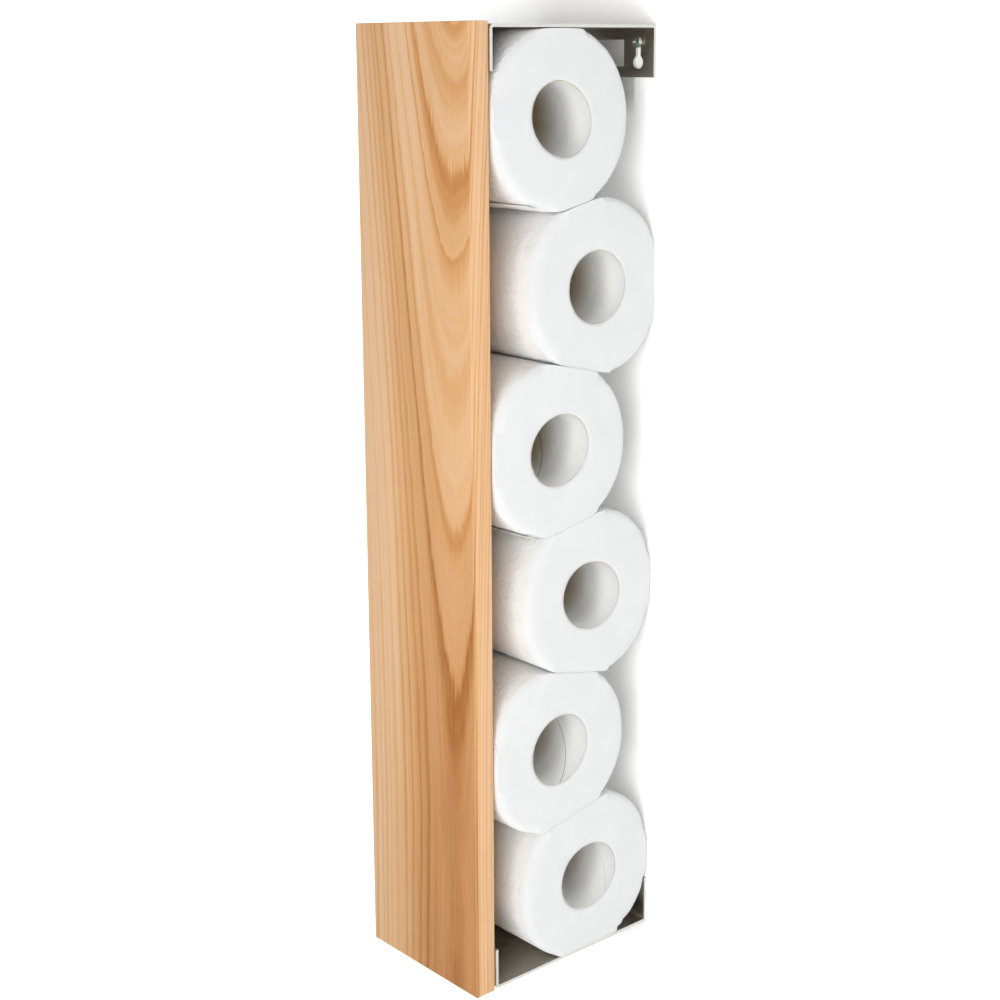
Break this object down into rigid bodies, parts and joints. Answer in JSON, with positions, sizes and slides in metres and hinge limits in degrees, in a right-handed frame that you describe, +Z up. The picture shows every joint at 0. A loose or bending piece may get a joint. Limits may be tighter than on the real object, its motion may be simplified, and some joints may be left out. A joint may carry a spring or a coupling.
{
  "type": "vertical toilet paper holder",
  "caption": "Wall-hung vertical holder: a solid wood front board on folded steel brackets, with spare toilet rolls stacked in a zigzag behind it.",
  "frame": {"origin": "on the wall plane, midway between the two round keyhole entries of the top bracket", "axes": "+X to the right seen from the front, +Y into the wall, +Z up"},
  "size_m": [0.11, 0.1817, 0.6],
  "materials": {
    "oak": "satin",
    "steel_sheet": "satin",
    "zinc": "satin",
    "nylon": "matte",
    "tissue": "matte",
    "core_board": "matte"
  },
  "bodies": {
    "wall_fixings": {"wall_screw_left": "zinc", "wall_screw_right": "zinc", "wall_plug_left": "nylon", "wall_plug_right": "nylon"},
    "holder": {"front_board": "oak", "top_bracket": "steel_sheet", "bottom_bracket": "steel_sheet", "top_board_screws": "zinc", "bottom_board_screws": "zinc"},
    "roll_1": {"roll_1_paper": "tissue", "roll_1_core": "core_board"},
    "roll_2": {"roll_2_paper": "tissue", "roll_2_core": "core_board"},
    "roll_3": {"roll_3_paper": "tissue", "roll_3_core": "core_board"},
    "roll_4": {"roll_4_paper": "tissue", "roll_4_core": "core_board"},
    "roll_5": {"roll_5_paper": "tissue", "roll_5_core": "core_board"},
    "roll_6": {"roll_6_paper": "tissue", "roll_6_core": "core_board"}
  },
  "joints": [
    {"name": "holder_lift", "type": "slide", "parent": "wall_fixings", "child": "holder", "axis": [0, 0, 1], "range_m": [0, 0.0123]},
    {"name": "roll_1_pull", "type": "slide", "parent": "holder", "child": "roll_1", "axis": [1, 0, 0], "range_m": [-0.11, 0.11]},
    {"name": "roll_2_pull", "type": "slide", "parent": "holder", "child": "roll_2", "axis": [1, 0, 0], "range_m": [-0.11, 0.11]},
    {"name": "roll_3_pull", "type": "slide", "parent": "holder", "child": "roll_3", "axis": [1, 0, 0], "range_m": [-0.11, 0.11]},
    {"name": "roll_4_pull", "type": "slide", "parent": "holder", "child": "roll_4", "axis": [1, 0, 0], "range_m": [-0.11, 0.11]},
    {"name": "roll_5_pull", "type": "slide", "parent": "holder", "child": "roll_5", "axis": [1, 0, 0], "range_m": [-0.11, 0.11]},
    {"name": "roll_6_pull", "type": "slide", "parent": "holder", "child": "roll_6", "axis": [1, 0, 0], "range_m": [-0.11, 0.11]}
  ]
}
